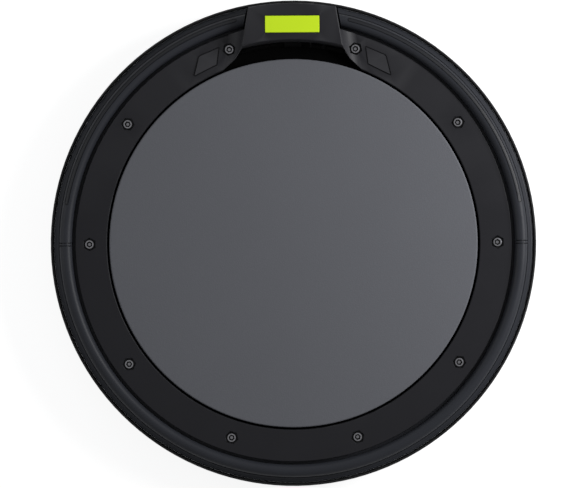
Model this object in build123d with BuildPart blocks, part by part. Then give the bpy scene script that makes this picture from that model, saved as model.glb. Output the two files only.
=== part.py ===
from build123d import *
import os
from math import acos, atan, cos, degrees, pi, radians, sin, sqrt, tan

os.makedirs("parts", exist_ok=True)

# Round drum practice pad with sensors: a playing surface held by a screwed clamp ring, a rubber
# striking rim round it, and a raised housing on the far side over the output jack.
# Millimetres, +Z up, origin at the centre of the feet plane, housing towards +Y.

# How far a cut or a joined piece runs past the surface that it meets
overlap = 1.0

# Widths across the pad, from the outside inwards
overall_radius = 190.5
lip_width = 2.1
rim_clearance = 0.6
shoulder_width = 3.8
valley_width = 0.7
bead_width = 9.8
rim_gap = 2.4
ring_width = 25.1
pad_gap = 1.8

# Heights, from the feet up
foot_stand = 3.0
floor_thickness = 3.0
well_depth = 16.0
plate_thickness = 2.0
foam_thickness = 4.0
ring_thickness = 5.0
surface_proud = 0.5
lip_rise = 7.0
housing_rise = 14.0

# Base shell
wall_thickness = 3.4
wall_lean = 6.5
wall_lean_height = 15.0
base_edge_round = 4.0
lip_round = 0.95
rib_thickness = 2.4
rib_count = 20
screw_wall_thickness = 3.0
inner_rib_radius = 80.0
plate_rib_width = 3.5
insert_recess_radius = 45.0
insert_recess_depth = 1.0

# Clamp ring
ring_edge_round = 0.8
skirt_thickness = 2.5
sweep_radius = 12.0
housing_wall = 2.6
housing_edge_round = 1.0
housing_depth = 28.9
housing_screw_distance = 9.9
housing_lean = 5.3
recess_elbow_out = 5.1
recess_elbow_depth = 8.3
recess_elbow_round = 9.0
recess_mouth_out = 15.5

# Badge
badge_width = 42.3
badge_depth = 13.0
badge_thickness = 1.2
badge_pocket_depth = 1.0
badge_pocket_gap = 0.4
badge_offset = 2.2
badge_corner = 0.5

# Grip panels on the clamp ring
panel_near = 6.3
panel_skew = 1.8
panel_width = 15.1
panel_half_depth = 5.6
panel_inset = 0.5
panel_corner = 2.2
panel_groove = 0.9
panel_groove_depth = 0.9
panel_low = 0.1
panel_high = 0.9

# Rubber rim, its inlaid strips and the film sensors under them
rim_foot_gap = 0.4
rim_foot_height = 2.5
valley_drop = 4.0
shoulder_drop = 4.6
shoulder_rise = 1.8
shoulder_round = 1.6
rim_end_gap = 1.5
strip_width = 2.2
strip_gap = 0.4
strip_sink = 2.0
strip_offset = 1.65
strip_start = 10.4
strip_end_gap = 9.7
seam_spacing = 2.2
seam_width = 0.8
seam_depth = 2.0
film_thickness = 0.6
film_width = 6.0
film_side_gap = 0.2
carrier_side_gap = 0.2

# Screws and inserts
screw_count = 10
screw_circle_offset = 1.25
screw_radius = 2.0
screw_length = 12.0
screw_hole_clearance = 0.25
screw_head_radius = 3.8
screw_head_height = 2.2
screw_head_round = 0.8
screw_socket_width = 3.8
screw_socket_depth = 1.6
pocket_width = 9.0
pocket_depth = 2.4
pocket_chamfer = 0.35
boss_radius = 5.0
insert_radius = 2.8
insert_length = 8.0
insert_clearance = 0.05
thread_clearance = 0.05

# Playing surface and head sensor
surface_round = 1.0
edge_clearance = 0.5
isolator_thickness = 1.5
sensor_pad_radius = 14.0
sensor_pad_thickness = 1.5
piezo_radius = 17.5
piezo_thickness = 0.5
ceramic_radius = 12.5
ceramic_thickness = 0.3

# Stand insert and feet
stand_thread_radius = 4.0
stand_insert_radius = 7.0
stand_insert_length = 12.0
stand_flange_radius = 10.0
stand_flange_thickness = 1.0
stand_insert_end = 1.0
stand_boss_radius = 12.0
stand_boss_height = 14.0
foot_count = 6
foot_radius = 10.0
foot_inset = 19.0
foot_recess = 1.5
foot_pocket_gap = 0.3

# Output jack
plug_bore_radius = 3.25
jack_bush_radius = 4.7
jack_bush_clearance = 0.2
jack_width = 14.0
jack_depth = 30.0
jack_edge_round = 1.0
jack_bore_end_wall = 2.0
jack_lift = 0.6
jack_headroom = 1.8
jack_window_gap = 1.0
jack_face_inset = 6.5
jack_face_thickness = 3.0
jack_nut_width = 12.0
jack_nut_thickness = 2.4
jack_washer_radius = 6.6
jack_washer_thickness = 0.5
jack_bush_proud = 0.8
jack_pocket_radius = 8.6
jack_pad_half_width = 15.0

# Circuit board
board_width = 52.0
board_depth = 15.0
board_thickness = 1.6
board_corner = 1.0
board_drop = 11.8
board_shift = 0.8
board_screw_half_spacing = 21.0
board_boss_radius = 3.2
board_screw_radius = 1.25
board_screw_clearance = 0.1
board_screw_length = 8.0
board_screw_head_radius = 2.3
board_screw_head_height = 1.6
connector_width = 8.0
connector_depth = 5.0
connector_height = 5.0
connector_x = 14.5

# Leads
lead_radius = 0.9
jack_lead_radius = 0.8
lead_slot_half = 2.5
lead_clearance = 0.1
lead_arc_share = 0.45

# Radii that follow
lip_inner = overall_radius - lip_width
rim_outer = lip_inner - rim_clearance
bead_outer = rim_outer - shoulder_width - valley_width
rim_inner = bead_outer - bead_width
bead_centre = rim_inner + bead_width / 2
ring_outer = rim_inner - rim_gap
ring_inner = ring_outer - ring_width
surface_radius = ring_inner - pad_gap
screw_circle = (ring_inner + ring_outer) / 2 + screw_circle_offset
carrier_inner = screw_circle + boss_radius + edge_clearance
carrier_outer = lip_inner - carrier_side_gap
wall_inner = overall_radius - wall_thickness
base_bottom_radius = overall_radius - wall_lean
foot_circle = base_bottom_radius - foot_inset
screw_wall_inner = screw_circle - screw_wall_thickness / 2
screw_wall_outer = screw_circle + screw_wall_thickness / 2
plate_rib_outer = surface_radius + plate_rib_width
housing_outer = rim_outer - rim_clearance
housing_inner = housing_outer - housing_depth
pad_edge = min(screw_circle - boss_radius, housing_inner) - edge_clearance
housing_inner_half = screw_circle * sin(pi / screw_count) - housing_screw_distance
housing_outer_half = housing_inner_half - housing_lean
badge_y = (housing_inner + housing_outer) / 2 - badge_offset
strip_radius = bead_centre + strip_offset

# Levels that follow
base_under = foot_stand
floor_top = base_under + floor_thickness
seat_level = floor_top + well_depth
plate_top = seat_level + plate_thickness
clamp_level = plate_top + foam_thickness
ring_top = clamp_level + ring_thickness
surface_top = ring_top + surface_proud
lip_top = seat_level + lip_rise
low_rib_top = floor_top + well_depth / 2
housing_top = ring_top + housing_rise
ceiling = housing_top - housing_wall
bead_radius = bead_width / 2
bead_spring = ring_top
strip_floor = bead_spring + bead_radius - strip_sink
pocket_floor = ring_top - pocket_depth
jack_height = well_depth - jack_lift - jack_headroom
jack_level = floor_top + jack_lift + jack_height / 2
jack_face = overall_radius - jack_face_inset
jack_back = jack_face - jack_face_thickness
board_top = ceiling - board_drop
board_under = board_top - board_thickness
board_y = (housing_inner + housing_outer) / 2 + board_shift


def radial_plane(angle):
    """Upright plane through the centre line: local X points outwards at the angle, local Y is up."""
    outwards = Vector(cos(radians(angle)), sin(radians(angle)))
    return Plane(origin=(0, 0, 0), x_dir=outwards, z_dir=(outwards.Y, -outwards.X, 0))


def on_radius(half_width, radius):
    """Point on a circle about the centre, at the given distance to the right of the middle line."""
    return Vector(half_width, sqrt(radius**2 - half_width**2))


def keystone(grow=0.0):
    """Plan of the housing: two arcs about the centre and two leaning sides, grown all round."""
    inner_corner = on_radius(housing_inner_half + grow, housing_inner - grow)
    outer_corner = on_radius(housing_outer_half + grow, housing_outer + grow)
    with BuildSketch(mode=Mode.PRIVATE) as outline:
        with BuildLine():
            inner_arc = ThreePointArc(
                (-inner_corner.X, inner_corner.Y), (0, housing_inner - grow), inner_corner
            )
            side = Line(inner_arc @ 1, outer_corner)
            outer_arc = ThreePointArc(
                side @ 1,
                (0, housing_outer + grow),
                (-outer_corner.X, outer_corner.Y),
            )
            Line(outer_arc @ 1, inner_arc @ 0)
        make_face()
    return outline.sketch


def rim_section():
    """Cross-section of the rubber rim: inner foot, round bead, valley and low sloping shoulder."""
    valley_level = bead_spring - valley_drop
    shoulder_top = bead_spring - shoulder_drop
    shoulder_inner = rim_outer - shoulder_width
    with BuildSketch(Plane.XZ, mode=Mode.PRIVATE) as section:
        with BuildLine():
            Polyline(
                (rim_inner, bead_spring),
                (rim_inner, plate_top + rim_foot_height),
                (ring_outer + rim_foot_gap, plate_top + rim_foot_height),
                (ring_outer + rim_foot_gap, plate_top),
                (rim_outer, plate_top),
                (rim_outer, shoulder_top - shoulder_round),
            )
            RadiusArc(
                (rim_outer, shoulder_top - shoulder_round),
                (rim_outer - shoulder_round, shoulder_top),
                -shoulder_round,
            )
            Polyline(
                (rim_outer - shoulder_round, shoulder_top),
                (shoulder_inner, shoulder_top + shoulder_rise),
                (shoulder_inner, valley_level),
                (bead_outer, valley_level),
                (bead_outer, bead_spring),
            )
            ThreePointArc(
                (bead_outer, bead_spring),
                (bead_centre, bead_spring + bead_radius),
                (rim_inner, bead_spring),
            )
        make_face()
    return section.sketch


# Angle at which the strips stop short of the housing
side_x = housing_outer_half + (housing_outer - strip_radius) * (
    housing_inner_half - housing_outer_half
) / housing_depth
strip_end = degrees(acos(side_x / strip_radius) - strip_end_gap / strip_radius)
strip_spans = [(strip_start, strip_end), (180 - strip_end, 180 - strip_start)]


# Base shell: floor, leaning outer wall with a lip, ribs, screw bosses and the jack's flat
with BuildPart() as envelope:
    with BuildSketch(Plane.XZ):
        Polygon(
            (0, base_under),
            (base_bottom_radius, base_under),
            (overall_radius, base_under + wall_lean_height),
            (overall_radius, lip_top),
            (0, lip_top),
            align=None,
        )
    revolve(axis=Axis.Z)

with BuildPart() as shell_ribs:
    with BuildSketch(Plane.XY.offset(floor_top - overlap)):
        with PolarLocations(0, rib_count, start_angle=180 / rib_count):
            Rectangle(overall_radius, rib_thickness, align=(Align.MIN, Align.CENTER))
        Circle(screw_circle, mode=Mode.SUBTRACT)
    extrude(amount=seat_level - floor_top + overlap)
    with BuildSketch(Plane.XY.offset(floor_top - overlap)):
        with PolarLocations(0, rib_count // 2, start_angle=180 / rib_count):
            Rectangle(screw_circle, rib_thickness, align=(Align.MIN, Align.CENTER))
        Circle(inner_rib_radius)
        Circle(inner_rib_radius - rib_thickness, mode=Mode.SUBTRACT)
        with PolarLocations(0, rib_count // 2, start_angle=180 / rib_count):
            Rectangle(screw_circle, rib_thickness, align=(Align.MIN, Align.CENTER))
    extrude(amount=low_rib_top - floor_top + overlap)
    with BuildSketch(Plane.XY.offset(floor_top - overlap)):
        Circle(plate_rib_outer)
        Circle(surface_radius, mode=Mode.SUBTRACT)
    extrude(amount=seat_level - isolator_thickness - floor_top + overlap)
    with BuildSketch(Plane.XY.offset(floor_top - overlap)):
        Circle(screw_wall_outer)
        Circle(screw_wall_inner, mode=Mode.SUBTRACT)
        with PolarLocations(screw_circle, screw_count):
            Circle(boss_radius)
    extrude(amount=clamp_level - floor_top + overlap)
    with BuildSketch(Plane.XY.offset(base_under)):
        Circle(stand_boss_radius)
    extrude(amount=stand_boss_height)
    with BuildSketch(Plane.XY.offset(floor_top - overlap)):
        with Locations((0, jack_back - jack_face_thickness)):
            Rectangle(
                2 * jack_pad_half_width,
                jack_face_inset + 2 * jack_face_thickness,
                align=(Align.CENTER, Align.MIN),
            )
    extrude(amount=seat_level - floor_top + overlap)
    add(envelope.part, mode=Mode.INTERSECT)

with BuildPart() as base_shell:
    add(envelope.part)
    with BuildSketch(Plane.XZ):
        Polygon(
            (0, floor_top),
            (base_bottom_radius - wall_thickness, floor_top),
            (wall_inner, base_under + wall_lean_height),
            (wall_inner, seat_level),
            (lip_inner, seat_level),
            (lip_inner, lip_top + overlap),
            (0, lip_top + overlap),
            align=None,
        )
    revolve(axis=Axis.Z, mode=Mode.SUBTRACT)
    fillet(base_shell.edges().group_by(Axis.Z)[0], radius=base_edge_round)
    fillet(base_shell.edges().group_by(Axis.Z)[-1], radius=lip_round)
    add(shell_ribs.part)
    # Room for the housing's walls, the jack's body and the head sensor's lead
    with BuildSketch(Plane.XY.offset(seat_level)):
        add(keystone(grow=rim_clearance))
        Circle(screw_wall_inner - overlap, mode=Mode.SUBTRACT)
        Circle(lip_inner, mode=Mode.INTERSECT)
    extrude(amount=clamp_level - seat_level + overlap, mode=Mode.SUBTRACT)
    with BuildSketch(Plane.XY.offset(low_rib_top)):
        with Locations((connector_x, surface_radius - overlap)):
            Rectangle(
                2 * lead_slot_half, plate_rib_width + 3 * overlap, align=(Align.CENTER, Align.MIN)
            )
    extrude(amount=well_depth, mode=Mode.SUBTRACT)
    with BuildSketch(Plane.XY.offset(floor_top)):
        with Locations((0, jack_back)):
            Rectangle(
                2 * (connector_x + lead_slot_half),
                jack_depth + jack_window_gap,
                align=(Align.CENTER, Align.MAX),
            )
    extrude(amount=well_depth, mode=Mode.SUBTRACT)
    with BuildSketch(Plane.XZ.offset(-jack_face)):
        with Locations((0, jack_level)):
            Circle(jack_pocket_radius)
    extrude(amount=-2 * jack_face_inset, mode=Mode.SUBTRACT)
    with BuildSketch(Plane.XZ.offset(-jack_back + overlap)):
        with Locations((0, jack_level)):
            Circle(jack_bush_radius + jack_bush_clearance)
    extrude(amount=-jack_face_thickness - 2 * overlap, mode=Mode.SUBTRACT)
    # Insert holes, foot pockets and the seat of the stand insert
    with BuildSketch(Plane.XY.offset(clamp_level)):
        with PolarLocations(screw_circle, screw_count):
            Circle(insert_radius + insert_clearance)
    extrude(amount=-insert_length, mode=Mode.SUBTRACT)
    with BuildSketch(Plane.XY.offset(clamp_level)):
        with PolarLocations(screw_circle, screw_count):
            Circle(screw_radius + screw_hole_clearance)
    extrude(amount=-screw_length - overlap, mode=Mode.SUBTRACT)
    with BuildSketch(Plane.XY.offset(base_under)):
        with PolarLocations(foot_circle, foot_count):
            Circle(foot_radius + foot_pocket_gap)
    extrude(amount=foot_recess, mode=Mode.SUBTRACT)
    with BuildSketch(Plane.XY.offset(base_under)):
        Circle(insert_recess_radius)
    extrude(amount=insert_recess_depth, mode=Mode.SUBTRACT)
    with BuildSketch(Plane.XY.offset(base_under + insert_recess_depth)):
        Circle(stand_flange_radius + insert_clearance)
    extrude(amount=stand_flange_thickness, mode=Mode.SUBTRACT)
    with BuildSketch(Plane.XY.offset(base_under + insert_recess_depth)):
        Circle(stand_insert_radius + insert_clearance)
    extrude(amount=stand_insert_length, mode=Mode.SUBTRACT)


# Clamp ring: flat ring with a skirt, swept up into the hollow housing
side_foot = on_radius(housing_inner_half, housing_inner)
side_head = on_radius(housing_outer_half, housing_outer)
side_run = (side_head - side_foot).normalized()
side_plane = Plane(
    origin=(side_foot.X, side_foot.Y, ring_top),
    x_dir=(side_run.Y, -side_run.X, 0),
    z_dir=(-side_run.X, -side_run.Y, 0),
)
sweep_foot = side_foot.X + sweep_radius

recess_elbow = (side_foot.X + recess_elbow_out, side_foot.Y - recess_elbow_depth)
recess_mouth = on_radius(side_foot.X + recess_mouth_out, ring_inner)

with BuildLine() as recess_side:
    Polyline(side_foot, recess_elbow, recess_mouth)
    fillet(recess_side.vertices().sort_by(Axis.X)[1], radius=recess_elbow_round)

with BuildPart() as sweep_up:
    with BuildSketch(side_plane):
        with BuildLine():
            Polyline(
                (0, sweep_radius),
                (-housing_wall / 2, sweep_radius),
                (-housing_wall / 2, -housing_wall / 2),
                (sweep_radius, -housing_wall / 2),
                (sweep_radius, 0),
            )
            CenterArc((sweep_radius, sweep_radius), sweep_radius, 180, 90)
        make_face()
    extrude(amount=2 * housing_depth, both=True)
    with BuildSketch(Plane.XY.offset(ring_top - housing_wall)):
        Circle(ring_outer)
        Circle(ring_inner, mode=Mode.SUBTRACT)
    extrude(amount=2 * sweep_radius, mode=Mode.INTERSECT)

with BuildPart() as panel:
    panel_mid = (ring_inner + ring_outer) / 2 - panel_inset
    near_x = sweep_foot + panel_near
    with BuildSketch(Plane.XY.offset(ring_top - panel_groove_depth)) as panel_plan:
        near_outer = on_radius(near_x, panel_mid + panel_half_depth)
        far_outer = on_radius(near_x + panel_width, panel_mid + panel_half_depth)
        far_inner = on_radius(
            near_x + panel_width + 2 * panel_skew, panel_mid - panel_half_depth
        )
        near_inner = on_radius(near_x + panel_skew, panel_mid - panel_half_depth)
        Polygon(near_outer, far_outer, far_inner, near_inner, align=None)
        fillet(panel_plan.vertices().sort_by(Axis.Y)[-2], radius=panel_corner)
    extrude(amount=panel_groove_depth + 2 * panel_high)
    panel_tilt = degrees(atan((panel_high - panel_low) / panel_width))
    panel_face = Plane(origin=(near_x, panel_mid, ring_top + panel_low)).rotated(
        (0, -panel_tilt, 0)
    )
    split(bisect_by=panel_face, keep=Keep.BOTTOM)

with BuildPart() as clamp_ring:
    with BuildSketch(Plane.XZ):
        with Locations((ring_inner, clamp_level)):
            Rectangle(ring_width, ring_thickness, align=(Align.MIN, Align.MIN))
    revolve(axis=Axis.Z)
    fillet(clamp_ring.edges().group_by(Axis.Z)[-1], radius=ring_edge_round)
    with BuildSketch(Plane.XY.offset(clamp_level)):
        Circle(ring_outer)
        Circle(ring_outer - skirt_thickness, mode=Mode.SUBTRACT)
    extrude(amount=-foam_thickness)
    with BuildSketch(Plane.XY.offset(seat_level)):
        add(keystone())
    extrude(amount=housing_top - seat_level)
    add(sweep_up.part)
    mirror(sweep_up.part, about=Plane.YZ)
    # Recess between the playing surface and the housing
    with BuildSketch(Plane.XY.offset(seat_level - overlap)):
        with BuildLine():
            add(recess_side.line)
            mirror(recess_side.line, about=Plane.YZ)
            ThreePointArc((-side_foot.X, side_foot.Y), (0, housing_inner), side_foot)
            Line((-recess_mouth.X, recess_mouth.Y), recess_mouth)
        make_face()
    extrude(amount=housing_top - seat_level + 2 * overlap, mode=Mode.SUBTRACT)
    fillet(clamp_ring.edges().group_by(Axis.Z)[-1], radius=housing_edge_round)
    # Hollow of the housing
    with BuildSketch(Plane.XY.offset(seat_level - overlap)):
        add(keystone(grow=-housing_wall))
    extrude(amount=ceiling - seat_level + overlap, mode=Mode.SUBTRACT)
    with BuildSketch(Plane.XY.offset(board_top)):
        with GridLocations(2 * board_screw_half_spacing, 1, 2, 1):
            with Locations((0, board_y)):
                Circle(board_boss_radius)
    extrude(amount=ceiling - board_top + overlap)
    with BuildSketch(Plane.XY.offset(board_top)):
        with GridLocations(2 * board_screw_half_spacing, 1, 2, 1):
            with Locations((0, board_y)):
                Circle(board_screw_radius + thread_clearance)
    extrude(amount=board_screw_length, mode=Mode.SUBTRACT)
    # Badge pocket
    with BuildSketch(Plane.XY.offset(housing_top)):
        with Locations((0, badge_y)):
            RectangleRounded(
                badge_width + 2 * badge_pocket_gap,
                badge_depth + 2 * badge_pocket_gap,
                badge_corner + badge_pocket_gap,
            )
    extrude(amount=-badge_pocket_depth, mode=Mode.SUBTRACT)
    # Panels: a groove all round and a face that rises away from the housing
    with BuildSketch(Plane.XY.offset(ring_top - panel_groove_depth)):
        add(panel_plan.sketch_local)
        offset(amount=panel_groove)
    extrude(amount=2 * panel_groove_depth, mode=Mode.SUBTRACT)
    with BuildSketch(Plane.XY.offset(ring_top - panel_groove_depth)):
        mirror(offset(panel_plan.sketch_local, panel_groove, mode=Mode.PRIVATE), about=Plane.YZ)
    extrude(amount=2 * panel_groove_depth, mode=Mode.SUBTRACT)
    add(panel.part)
    mirror(panel.part, about=Plane.YZ)
    # Hexagonal screw pockets and the holes through their floors
    with BuildSketch(Plane.XY.offset(pocket_floor)):
        with PolarLocations(screw_circle, screw_count):
            RegularPolygon(pocket_width / 2, 6, major_radius=False, rotation=30)
    extrude(amount=sweep_radius, mode=Mode.SUBTRACT)
    with BuildSketch(Plane.XY.offset(ring_top)):
        with PolarLocations(screw_circle, screw_count):
            RegularPolygon(
                pocket_width / 2 + pocket_chamfer, 6, major_radius=False, rotation=30
            )
    extrude(amount=-pocket_chamfer, taper=45, mode=Mode.SUBTRACT)
    with BuildSketch(Plane.XY.offset(clamp_level - overlap)):
        with PolarLocations(screw_circle, screw_count):
            Circle(screw_radius + screw_hole_clearance)
    extrude(amount=ring_thickness, mode=Mode.SUBTRACT)

with BuildPart() as badge_plate:
    with BuildSketch(Plane.XY.offset(housing_top - badge_pocket_depth)):
        with Locations((0, badge_y)):
            RectangleRounded(badge_width, badge_depth, badge_corner)
    extrude(amount=badge_thickness)
    chamfer(badge_plate.edges().group_by(Axis.Z)[-1], length=badge_thickness / 5)


# Rubber rim with grooves for the strips, seam lines and recesses for the film sensors
with BuildPart() as rubber_rim:
    add(rim_section())
    revolve(axis=Axis.Z)
    with BuildSketch(Plane.XY.offset(plate_top - overlap)):
        add(keystone(grow=rim_end_gap))
    extrude(amount=bead_spring, mode=Mode.SUBTRACT)
    with BuildSketch(Plane.XY.offset(strip_floor)):
        for start, end in strip_spans:
            SlotArc(
                CenterArc((0, 0), strip_radius, start, end - start, mode=Mode.PRIVATE),
                strip_width + 2 * strip_gap,
            )
    extrude(amount=bead_radius, mode=Mode.SUBTRACT)
    for start, end in strip_spans:
        with BuildSketch(radial_plane(start)):
            with Locations((bead_centre, plate_top)):
                Rectangle(
                    film_width + 2 * film_side_gap,
                    2 * film_thickness,
                )
        revolve(axis=Axis.Z, revolution_arc=end - start, mode=Mode.SUBTRACT)
    for seam_angle in (0, 180):
        for seam_shift in (-seam_spacing / 2, seam_spacing / 2):
            with BuildSketch(radial_plane(seam_angle).offset(seam_shift)):
                with Locations((bead_centre, bead_spring)):
                    Circle(bead_radius + seam_depth)
                    Circle(bead_radius - seam_depth, mode=Mode.SUBTRACT)
                    Rectangle(
                        2 * bead_width,
                        bead_width,
                        align=(Align.CENTER, Align.MIN),
                        mode=Mode.INTERSECT,
                    )
            extrude(amount=seam_width / 2, both=True, mode=Mode.SUBTRACT)

for number, (start, end) in enumerate(strip_spans):
    side = ("right", "left")[number]
    with BuildPart() as rim_strip:
        with BuildSketch(Plane.XY.offset(strip_floor)):
            SlotArc(
                CenterArc((0, 0), strip_radius, start, end - start, mode=Mode.PRIVATE),
                strip_width,
            )
        extrude(amount=bead_radius)
        with BuildSketch(Plane.XZ):
            add(rim_section())
        revolve(axis=Axis.Z, mode=Mode.INTERSECT)
    rim_strip.part.label = "rim_strip_" + side
    export_step(rim_strip.part, "parts/rim_strip_" + side + ".step")
    with BuildPart() as rim_film_sensor:
        with BuildSketch(radial_plane(start)):
            with Locations((bead_centre, plate_top)):
                Rectangle(film_width, film_thickness, align=(Align.CENTER, Align.MIN))
        revolve(axis=Axis.Z, revolution_arc=end - start)
    rim_film_sensor.part.label = "rim_film_sensor_" + side
    export_step(rim_film_sensor.part, "parts/rim_film_sensor_" + side + ".step")

with BuildPart() as rim_carrier:
    with BuildSketch(Plane.XY.offset(seat_level)):
        Circle(carrier_outer)
        Circle(carrier_inner, mode=Mode.SUBTRACT)
        add(keystone(grow=rim_end_gap), mode=Mode.SUBTRACT)
    extrude(amount=plate_thickness)


# Playing surface on its foam, its backing plate and the foam ring that carries the plate
with BuildPart() as playing_surface:
    with BuildSketch(Plane.XY.offset(clamp_level)):
        Circle(surface_radius)
    extrude(amount=surface_top - clamp_level)
    fillet(playing_surface.edges().group_by(Axis.Z)[-1], radius=surface_round)

with BuildPart() as damping_foam:
    with BuildSketch(Plane.XY.offset(plate_top)):
        Circle(pad_edge)
    extrude(amount=foam_thickness)

with BuildPart() as backing_plate:
    with BuildSketch(Plane.XY.offset(seat_level)):
        Circle(pad_edge)
    extrude(amount=plate_thickness)

with BuildPart() as plate_isolator:
    with BuildSketch(Plane.XY.offset(seat_level - isolator_thickness)):
        Circle(plate_rib_outer)
        Circle(surface_radius, mode=Mode.SUBTRACT)
        with Locations((connector_x, surface_radius - overlap)):
            Rectangle(
                2 * lead_slot_half,
                plate_rib_width + 3 * overlap,
                align=(Align.CENTER, Align.MIN),
                mode=Mode.SUBTRACT,
            )
    extrude(amount=isolator_thickness)


# Head sensor under the middle of the plate
piezo_top = seat_level - sensor_pad_thickness

with BuildPart() as sensor_pad:
    with BuildSketch(Plane.XY.offset(piezo_top)):
        Circle(sensor_pad_radius)
    extrude(amount=sensor_pad_thickness)

with BuildPart() as piezo_disc:
    with BuildSketch(Plane.XY.offset(piezo_top)):
        Circle(piezo_radius)
    extrude(amount=-piezo_thickness)

ceramic_under = piezo_top - piezo_thickness - ceramic_thickness

with BuildPart() as piezo_ceramic:
    with BuildSketch(Plane.XY.offset(ceramic_under)):
        Circle(ceramic_radius)
    extrude(amount=ceramic_thickness)


# Screws that hold the clamp ring down, and the brass inserts that they turn into
with BuildPart() as ring_screws:
    with BuildSketch(Plane.XY.offset(pocket_floor)):
        with PolarLocations(screw_circle, screw_count):
            Circle(screw_head_radius)
    extrude(amount=screw_head_height)
    fillet(ring_screws.edges().group_by(Axis.Z)[-1], radius=screw_head_round)
    with BuildSketch(Plane.XY.offset(pocket_floor)):
        with PolarLocations(screw_circle, screw_count):
            Circle(screw_radius)
    extrude(amount=-screw_length)
    with BuildSketch(Plane.XY.offset(pocket_floor + screw_head_height)):
        with PolarLocations(screw_circle, screw_count):
            RegularPolygon(screw_socket_width / 2, 6, major_radius=False)
    extrude(amount=-screw_socket_depth, mode=Mode.SUBTRACT)

with BuildPart() as threaded_inserts:
    with BuildSketch(Plane.XY.offset(clamp_level)):
        with PolarLocations(screw_circle, screw_count):
            Circle(insert_radius)
            Circle(screw_radius + thread_clearance, mode=Mode.SUBTRACT)
    extrude(amount=-insert_length)


# Threaded insert for a stand, and the rubber feet
with BuildPart() as stand_insert:
    with BuildSketch(Plane.XY.offset(base_under + insert_recess_depth)):
        Circle(stand_insert_radius)
    extrude(amount=stand_insert_length)
    with BuildSketch(Plane.XY.offset(base_under + insert_recess_depth)):
        Circle(stand_flange_radius)
    extrude(amount=stand_flange_thickness)
    with BuildSketch(Plane.XY.offset(base_under)):
        Circle(stand_thread_radius)
    extrude(amount=insert_recess_depth + stand_insert_length - stand_insert_end, mode=Mode.SUBTRACT)

with BuildPart() as rubber_feet:
    with BuildSketch():
        with PolarLocations(foot_circle, foot_count):
            Circle(foot_radius)
    extrude(amount=foot_stand + foot_recess)
    fillet(rubber_feet.edges().group_by(Axis.Z)[0], radius=foot_stand / 3)


# Output jack: body behind the flat of the base wall, washer and nut outside
bush_end = jack_face + jack_washer_thickness + jack_nut_thickness + jack_bush_proud

with BuildPart() as jack_body:
    with BuildSketch(Plane.XZ.offset(-jack_back)):
        with Locations((0, jack_level)):
            Rectangle(jack_width, jack_height)
    extrude(amount=jack_depth)
    fillet(jack_body.edges().filter_by(Axis.Y), radius=jack_edge_round)
    with BuildSketch(Plane.XZ.offset(-jack_back)):
        with Locations((0, jack_level)):
            Circle(jack_bush_radius)
    extrude(amount=jack_back - bush_end)
    with BuildSketch(Plane.XZ.offset(-bush_end)):
        with Locations((0, jack_level)):
            Circle(plug_bore_radius)
    extrude(
        amount=bush_end - jack_back + jack_depth - jack_bore_end_wall,
        mode=Mode.SUBTRACT,
    )

with BuildPart() as jack_washer:
    with BuildSketch(Plane.XZ.offset(-jack_face)):
        with Locations((0, jack_level)):
            Circle(jack_washer_radius)
            Circle(jack_bush_radius + thread_clearance, mode=Mode.SUBTRACT)
    extrude(amount=-jack_washer_thickness)

with BuildPart() as jack_nut:
    with BuildSketch(Plane.XZ.offset(-jack_face - jack_washer_thickness)):
        with Locations((0, jack_level)):
            RegularPolygon(jack_nut_width / 2, 6, major_radius=False)
            Circle(jack_bush_radius + thread_clearance, mode=Mode.SUBTRACT)
    extrude(amount=-jack_nut_thickness)


# Circuit board under the housing's roof, with its screws and the lead's connector
with BuildPart() as circuit_board:
    with BuildSketch(Plane.XY.offset(board_under)):
        with Locations((0, board_y)):
            RectangleRounded(board_width, board_depth, board_corner)
            with GridLocations(2 * board_screw_half_spacing, 1, 2, 1):
                Circle(board_screw_radius + board_screw_clearance, mode=Mode.SUBTRACT)
    extrude(amount=board_thickness)

with BuildPart() as board_screws:
    with BuildSketch(Plane.XY.offset(board_under - board_screw_head_height)):
        with GridLocations(2 * board_screw_half_spacing, 1, 2, 1):
            with Locations((0, board_y)):
                Circle(board_screw_head_radius)
    extrude(amount=board_screw_head_height)
    with BuildSketch(Plane.XY.offset(board_under)):
        with GridLocations(2 * board_screw_half_spacing, 1, 2, 1):
            with Locations((0, board_y)):
                Circle(board_screw_radius)
    extrude(amount=board_screw_length)

with BuildPart() as lead_connector:
    with BuildSketch(Plane.XY.offset(board_under)):
        with Locations((connector_x, board_y)):
            Rectangle(connector_width, connector_depth)
    extrude(amount=-connector_height)


# Leads: from the head sensor to the board's connector, and from the jack up to the board
def corner_radii(points):
    """Radius of the arc at each inner point of a route, as large as its two runs allow."""
    radii = []
    for before, here, after in zip(points, points[1:], points[2:]):
        run_in = Vector(here) - Vector(before)
        run_out = Vector(after) - Vector(here)
        shorter = min(run_in.length, run_out.length)
        radii.append(lead_arc_share * shorter / tan(radians(run_in.get_angle(run_out)) / 2))
    return radii


sensor_level = ceramic_under - lead_radius - lead_clearance
rib_level = low_rib_top + lead_radius + 5 * lead_clearance
connector_under = board_under - connector_height

head_lead_route = [
    (0, 9, sensor_level),
    (2, 30, sensor_level - 0.2),
    (7, 55, sensor_level - 1.8),
    (12, 82, rib_level + 0.2),
    (connector_x, 110, rib_level),
    (connector_x - 0.2, plate_rib_outer - 12, rib_level + 0.1),
    (connector_x, screw_circle - 4, rib_level + 0.2),
    (connector_x, board_y - 8.5, rib_level + 0.6),
    (connector_x, board_y - 2.0, rib_level + 3.2),
    (connector_x, board_y, connector_under - 4.0),
    (connector_x, board_y, connector_under),
]
jack_top = jack_level + jack_height / 2
jack_lead_x = -jack_width / 4
jack_lead_route = [
    (jack_lead_x, board_y - 7.0, jack_top),
    (jack_lead_x, board_y - 7.0, jack_top + 3.4),
    (jack_lead_x, board_y - 5.2, board_under - 3.6),
    (jack_lead_x, board_y - 5.2, board_under),
]

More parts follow.
